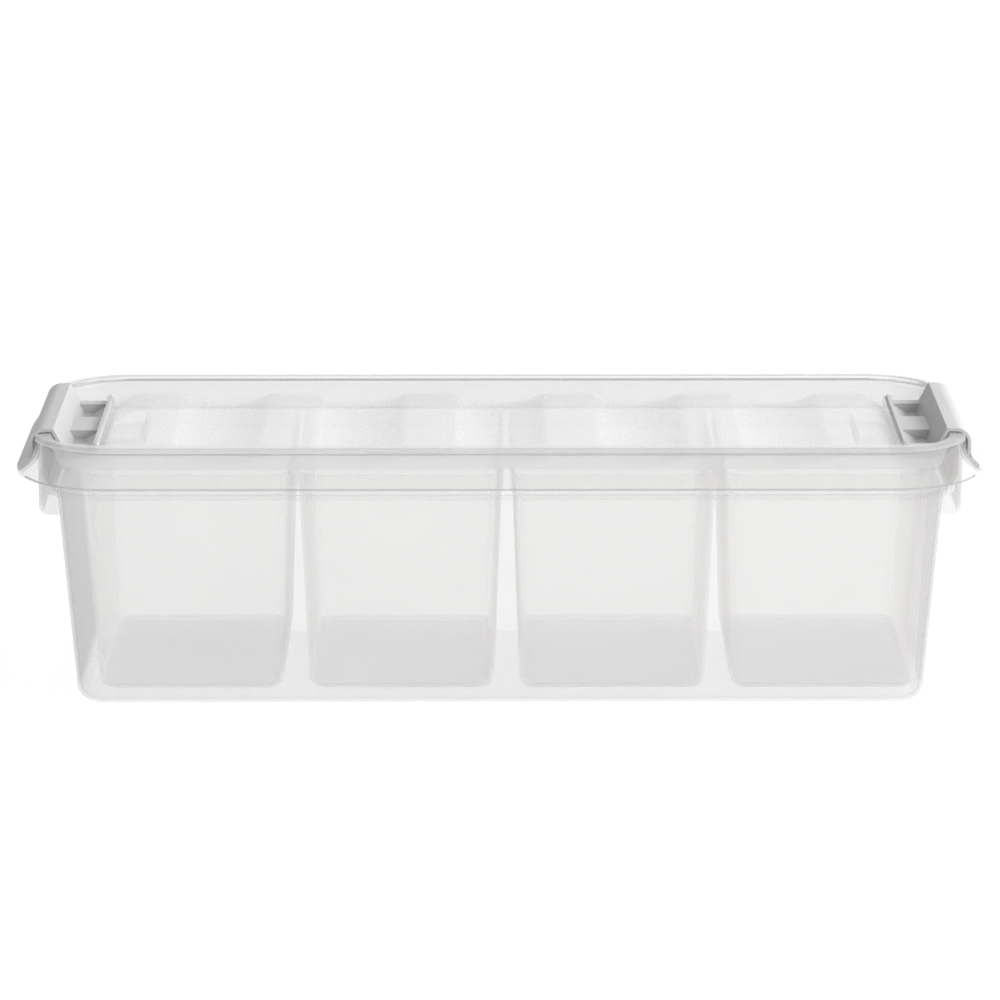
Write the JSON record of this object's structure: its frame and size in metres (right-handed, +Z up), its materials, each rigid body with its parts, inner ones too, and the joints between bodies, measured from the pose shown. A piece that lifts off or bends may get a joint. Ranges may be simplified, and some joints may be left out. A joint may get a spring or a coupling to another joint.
{
  "type": "compartment organizer box",
  "caption": "Long translucent storage box with loose compartments hanging on an inner ledge, a wave-panelled lid and a hinged locking clip at each end.",
  "frame": {"origin": "middle of the tub floor's underside", "axes": "+X along the box to its right end, -Y towards the front, +Z up"},
  "size_m": [0.5, 0.17, 0.1439],
  "materials": {
    "tub_plastic": "translucent, satin outside",
    "lid_plastic": "translucent, satin",
    "insert_plastic": "translucent, satin",
    "clip_plastic": "fine satin grain"
  },
  "bodies": {
    "tub": {"tub": "tub_plastic"},
    "lid": {"lid": "lid_plastic"},
    "clip_left": {"clip_left": "clip_plastic"},
    "clip_right": {"clip_right": "clip_plastic"},
    "insert_1": {"insert_1": "insert_plastic"},
    "insert_2": {"insert_2": "insert_plastic"},
    "insert_3": {"insert_3": "insert_plastic"},
    "insert_4": {"insert_4": "insert_plastic"}
  },
  "joints": [
    {"name": "lid_lift", "type": "slide", "parent": "tub", "child": "lid", "axis": [0, 0, 1], "range_m": [0, 0.32]},
    {"name": "clip_left_hinge", "type": "hinge", "parent": "lid", "child": "clip_left", "pos_m": [-0.20848, 0, 0.1346], "axis": [0, 1, 0], "range_deg": [0, 100]},
    {"name": "clip_right_hinge", "type": "hinge", "parent": "lid", "child": "clip_right", "pos_m": [0.20848, 0, 0.1346], "axis": [0, -1, 0], "range_deg": [0, 100]},
    {"name": "insert_1_lift", "type": "slide", "parent": "tub", "child": "insert_1", "axis": [0, 0, 1], "range_m": [0, 0.16]},
    {"name": "insert_2_lift", "type": "slide", "parent": "tub", "child": "insert_2", "axis": [0, 0, 1], "range_m": [0, 0.16]},
    {"name": "insert_3_lift", "type": "slide", "parent": "tub", "child": "insert_3", "axis": [0, 0, 1], "range_m": [0, 0.16]},
    {"name": "insert_4_lift", "type": "slide", "parent": "tub", "child": "insert_4", "axis": [0, 0, 1], "range_m": [0, 0.16]}
  ],
  "couplings": [
    {"joint": "insert_1_lift", "follows": "lid_lift", "ratio": 0.5},
    {"joint": "insert_2_lift", "follows": "lid_lift", "ratio": 0.5},
    {"joint": "insert_3_lift", "follows": "lid_lift", "ratio": 0.5},
    {"joint": "insert_4_lift", "follows": "lid_lift", "ratio": 0.5}
  ]
}
